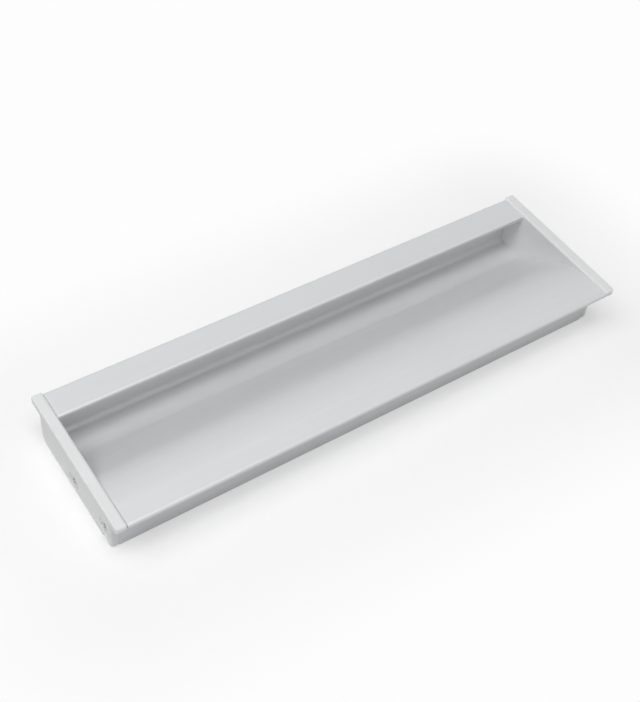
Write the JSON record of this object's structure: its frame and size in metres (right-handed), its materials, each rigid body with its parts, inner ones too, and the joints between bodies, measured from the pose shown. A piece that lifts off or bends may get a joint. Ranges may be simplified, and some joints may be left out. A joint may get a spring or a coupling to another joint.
{
  "type": "recessed pull handle",
  "caption": "Long flush pull handle: an extruded finger recess with a grip ledge and a front flange, closed at each end by a screwed-on moulded cap.",
  "frame": {"origin": "centre of the footprint, on the face that the handle rests on when it lies face up", "axes": "+X along the handle, +Y from the front flange towards the grip ledge, +Z out of the recess"},
  "size_m": [0.17, 0.0494, 0.0178],
  "materials": {
    "anodised_aluminium": "satin anodised, fine lengthwise grain",
    "cap_plastic": "fine moulded texture, silver grey",
    "screw_steel": "zinc plated"
  },
  "bodies": {
    "root": {"handle_profile": "anodised_aluminium", "left_end_cap": "cap_plastic", "right_end_cap": "cap_plastic", "left_front_screw": "screw_steel", "left_rear_screw": "screw_steel", "right_front_screw": "screw_steel", "right_rear_screw": "screw_steel"}
  },
  "joints": []
}
